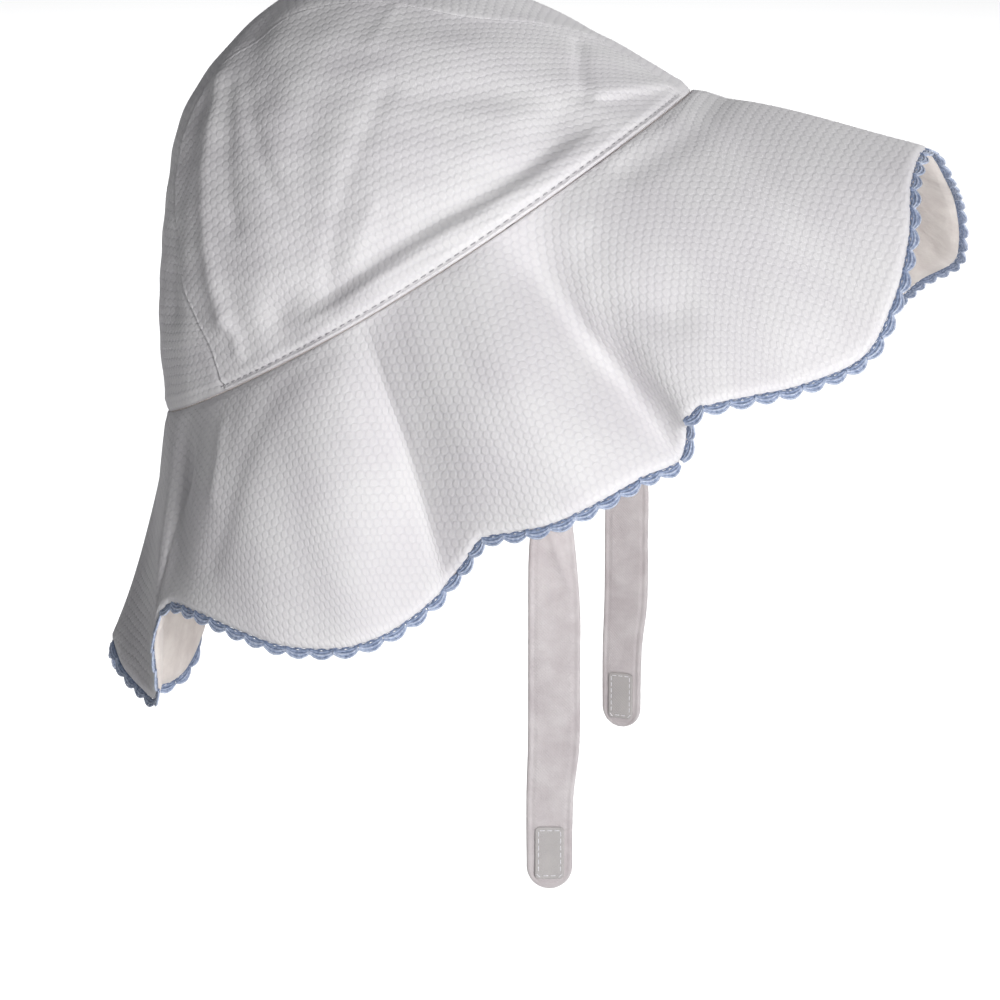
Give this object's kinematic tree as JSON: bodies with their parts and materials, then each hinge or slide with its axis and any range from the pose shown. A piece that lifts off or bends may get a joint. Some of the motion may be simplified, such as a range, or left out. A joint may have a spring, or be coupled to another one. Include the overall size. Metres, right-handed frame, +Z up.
{
  "type": "sun hat",
  "caption": "Soft cotton sun hat with a panelled crown, a wide floppy brim with a scalloped crochet edging, and an open chin strap.",
  "frame": {"origin": "middle of the head opening, in the plane of its rim", "axes": "+Z is up as the hat is worn, -Y is the wearer's front and -X the wearer's right side; the hat is tilted back by 32 degrees"},
  "size_m": [0.2139, 0.2409, 0.2425],
  "materials": {
    "honeycomb_cotton": "matt white cotton with a small honeycomb weave",
    "plain_facing": "matt plain cream cotton",
    "crochet_edging": "light blue twisted cotton thread with a soft sheen",
    "strap_cotton": "matt white cotton",
    "fastening_pad": "smooth pale grey fastening tape"
  },
  "bodies": {
    "root": {"crown_centre_strip": "honeycomb_cotton", "crown_side_right": "honeycomb_cotton", "crown_side_left": "honeycomb_cotton", "brim": "honeycomb_cotton", "under_brim": "plain_facing", "edge_trim": "crochet_edging", "chin_strap_right": "strap_cotton", "chin_strap_left": "strap_cotton", "strap_pad_right": "fastening_pad", "strap_pad_left": "fastening_pad"}
  },
  "joints": []
}
